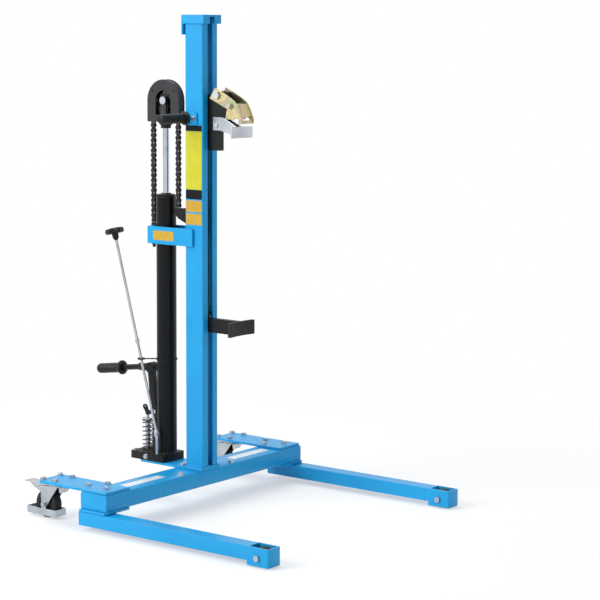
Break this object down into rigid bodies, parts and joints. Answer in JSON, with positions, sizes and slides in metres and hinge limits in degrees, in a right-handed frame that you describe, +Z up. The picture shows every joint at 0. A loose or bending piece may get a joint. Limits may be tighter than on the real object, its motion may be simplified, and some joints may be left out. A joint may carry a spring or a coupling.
{
  "type": "drum lifter",
  "caption": "Hydraulic drum lifter with straddle legs, slotted mast, foot pump, chain-hoisted carriage and a rim clamp.",
  "frame": {"origin": "on the floor under the middle of the bounding box", "axes": "+X forward toward the drum, +Y to the operator's left, +Z up along the mast"},
  "size_m": [1.08, 0.9666, 1.517],
  "materials": {
    "blue_paint": "semi-gloss powder coat",
    "black_paint": "satin",
    "black_plastic": "moulded",
    "black_rubber": "matte",
    "zinc_plate": "bright zinc plated",
    "yellow_zinc": "yellow chromated zinc",
    "chrome": "polished",
    "dark_steel": "blackened and oiled"
  },
  "bodies": {
    "chassis": {"cross_beam": "blue_paint", "leg_left": "blue_paint", "leg_right": "blue_paint", "packer_plate_left": "blue_paint", "packer_plate_right": "blue_paint", "caster_plate_left": "blue_paint", "caster_plate_right": "blue_paint", "pump_shelf": "blue_paint", "mast_channel_left": "blue_paint", "mast_channel_right": "blue_paint", "mast_cap": "blue_paint", "stay_bracket": "blue_paint", "handle_stub_left": "blue_paint", "handle_stub_right": "blue_paint", "pump_block": "black_paint", "cylinder": "black_paint", "gland_nut": "black_paint", "rod_guide": "black_paint", "grip_left": "black_plastic", "grip_right": "black_plastic", "leg_axle_left": "zinc_plate", "leg_axle_right": "zinc_plate", "caster_top_plate_left": "zinc_plate", "caster_top_plate_right": "zinc_plate", "lever_pin": "zinc_plate", "pump_spring": "dark_steel", "chain_anchor": "dark_steel", "chain_rear_strand": "dark_steel"},
    "leg_roller_left": {"leg_roller_left": "black_rubber"},
    "caster_swivel_left": {"caster_fork_left": "zinc_plate", "caster_guard_left": "zinc_plate"},
    "caster_wheel_left": {"caster_wheel_left": "black_rubber"},
    "caster_brake_left": {"caster_pedal_left": "zinc_plate"},
    "leg_roller_right": {"leg_roller_right": "black_rubber"},
    "caster_swivel_right": {"caster_fork_right": "zinc_plate", "caster_guard_right": "zinc_plate"},
    "caster_wheel_right": {"caster_wheel_right": "black_rubber"},
    "caster_brake_right": {"caster_pedal_right": "zinc_plate"},
    "ram": {"ram_rod": "chrome", "chain_yoke": "black_paint", "wheel_pin": "zinc_plate", "chain_guard": "black_paint", "chain_wrap": "dark_steel", "chain_front_strand": "dark_steel"},
    "chain_wheel": {"chain_wheel": "dark_steel"},
    "carriage": {"carriage_frame": "black_paint", "jaw_pivot_pin": "zinc_plate", "lower_jaw": "zinc_plate", "drum_rest_pad": "black_rubber"},
    "mast_roller_upper_left": {"mast_roller_upper_left": "dark_steel"},
    "mast_roller_upper_right": {"mast_roller_upper_right": "dark_steel"},
    "mast_roller_lower_left": {"mast_roller_lower_left": "dark_steel"},
    "mast_roller_lower_right": {"mast_roller_lower_right": "dark_steel"},
    "upper_jaw": {"upper_jaw": "yellow_zinc"},
    "pump_lever": {"pump_lever": "black_paint", "pedal_grip": "black_plastic"},
    "pump_plunger": {"pump_plunger": "zinc_plate"},
    "release_control": {"release_rod": "zinc_plate", "release_knob": "black_plastic"},
    "release_spindle": {"release_spindle": "zinc_plate"}
  },
  "joints": [
    {"name": "leg_roller_spin_left", "type": "hinge", "parent": "chassis", "child": "leg_roller_left", "pos_m": [0.5, 0.4495, 0.027], "axis": [0, 1, 0], "continuous": true},
    {"name": "caster_swivel_left", "type": "hinge", "parent": "chassis", "child": "caster_swivel_left", "pos_m": [-0.325, 0.412, 0.1043], "axis": [0, 0, 1], "continuous": true},
    {"name": "caster_wheel_spin_left", "type": "hinge", "parent": "caster_swivel_left", "child": "caster_wheel_left", "pos_m": [-0.363, 0.412, 0.043], "axis": [0, 1, 0], "continuous": true},
    {"name": "caster_brake_press_left", "type": "hinge", "parent": "caster_swivel_left", "child": "caster_brake_left", "pos_m": [-0.387, 0.412, 0.0953], "axis": [0, -1, 0], "range_deg": [0, 12]},
    {"name": "leg_roller_spin_right", "type": "hinge", "parent": "chassis", "child": "leg_roller_right", "pos_m": [0.5, -0.4495, 0.027], "axis": [0, 1, 0], "continuous": true},
    {"name": "caster_swivel_right", "type": "hinge", "parent": "chassis", "child": "caster_swivel_right", "pos_m": [-0.325, -0.412, 0.1043], "axis": [0, 0, 1], "continuous": true},
    {"name": "caster_wheel_spin_right", "type": "hinge", "parent": "caster_swivel_right", "child": "caster_wheel_right", "pos_m": [-0.363, -0.412, 0.043], "axis": [0, 1, 0], "continuous": true},
    {"name": "caster_brake_press_right", "type": "hinge", "parent": "caster_swivel_right", "child": "caster_brake_right", "pos_m": [-0.387, -0.412, 0.0953], "axis": [0, -1, 0], "range_deg": [0, 12]},
    {"name": "ram_lift", "type": "slide", "parent": "chassis", "child": "ram", "axis": [0, 0, 1], "range_m": [-0.2, 0.1], "deforming": ["chain_rear_strand"]},
    {"name": "chain_wheel_spin", "type": "hinge", "parent": "ram", "child": "chain_wheel", "pos_m": [-0.247, 0, 1.255], "axis": [0, -1, 0], "range_deg": [-226, 113]},
    {"name": "carriage_lift", "type": "slide", "parent": "ram", "child": "carriage", "axis": [0, 0, 1], "range_m": [-0.2, 0.1], "deforming": ["chain_front_strand"]},
    {"name": "mast_roller_upper_left_spin", "type": "hinge", "parent": "carriage", "child": "mast_roller_upper_left", "pos_m": [-0.1035, 0.02, 1.24], "axis": [0, 1, 0], "range_deg": [-764, 382]},
    {"name": "mast_roller_upper_right_spin", "type": "hinge", "parent": "carriage", "child": "mast_roller_upper_right", "pos_m": [-0.1035, -0.02, 1.24], "axis": [0, 1, 0], "range_deg": [-764, 382]},
    {"name": "mast_roller_lower_left_spin", "type": "hinge", "parent": "carriage", "child": "mast_roller_lower_left", "pos_m": [-0.1035, 0.02, 0.58], "axis": [0, 1, 0], "range_deg": [-382, 764]},
    {"name": "mast_roller_lower_right_spin", "type": "hinge", "parent": "carriage", "child": "mast_roller_lower_right", "pos_m": [-0.1035, -0.02, 0.58], "axis": [0, 1, 0], "range_deg": [-382, 764]},
    {"name": "upper_jaw_open", "type": "hinge", "parent": "carriage", "child": "upper_jaw", "pos_m": [-0.019, 0, 1.277], "axis": [0, -1, 0], "range_deg": [0, 40]},
    {"name": "pump_lever_press", "type": "hinge", "parent": "chassis", "child": "pump_lever", "pos_m": [-0.288, 0, 0.275], "axis": [0, -1, 0], "range_deg": [0, 22], "stiffness_Nm_per_rad": 15.4, "springref_deg": -20.05},
    {"name": "pump_plunger_press", "type": "slide", "parent": "chassis", "child": "pump_plunger", "axis": [0, 0, -1], "range_m": [0, 0.016], "deforming": ["pump_spring"]},
    {"name": "release_rod_turn", "type": "hinge", "parent": "chassis", "child": "release_control", "pos_m": [-0.249, -0.045, 0.209], "axis": [-0.2465, -0.0236, 0.9688], "range_deg": [0, 90]},
    {"name": "release_spindle_turn", "type": "hinge", "parent": "chassis", "child": "release_spindle", "pos_m": [-0.249, -0.045, 0.209], "axis": [0, 0, 1], "range_deg": [0, 90]}
  ],
  "couplings": [
    {"joint": "chain_wheel_spin", "follows": "ram_lift", "rad_per_m": 19.708},
    {"joint": "carriage_lift", "follows": "ram_lift", "ratio": 1},
    {"joint": "mast_roller_upper_left_spin", "follows": "ram_lift", "rad_per_m": 66.667},
    {"joint": "mast_roller_upper_right_spin", "follows": "ram_lift", "rad_per_m": 66.667},
    {"joint": "mast_roller_lower_left_spin", "follows": "ram_lift", "rad_per_m": -66.667},
    {"joint": "mast_roller_lower_right_spin", "follows": "ram_lift", "rad_per_m": -66.667},
    {"joint": "pump_plunger_press", "follows": "pump_lever_press", "m_per_rad": 0.04},
    {"joint": "release_spindle_turn", "follows": "release_rod_turn", "ratio": 1}
  ]
}
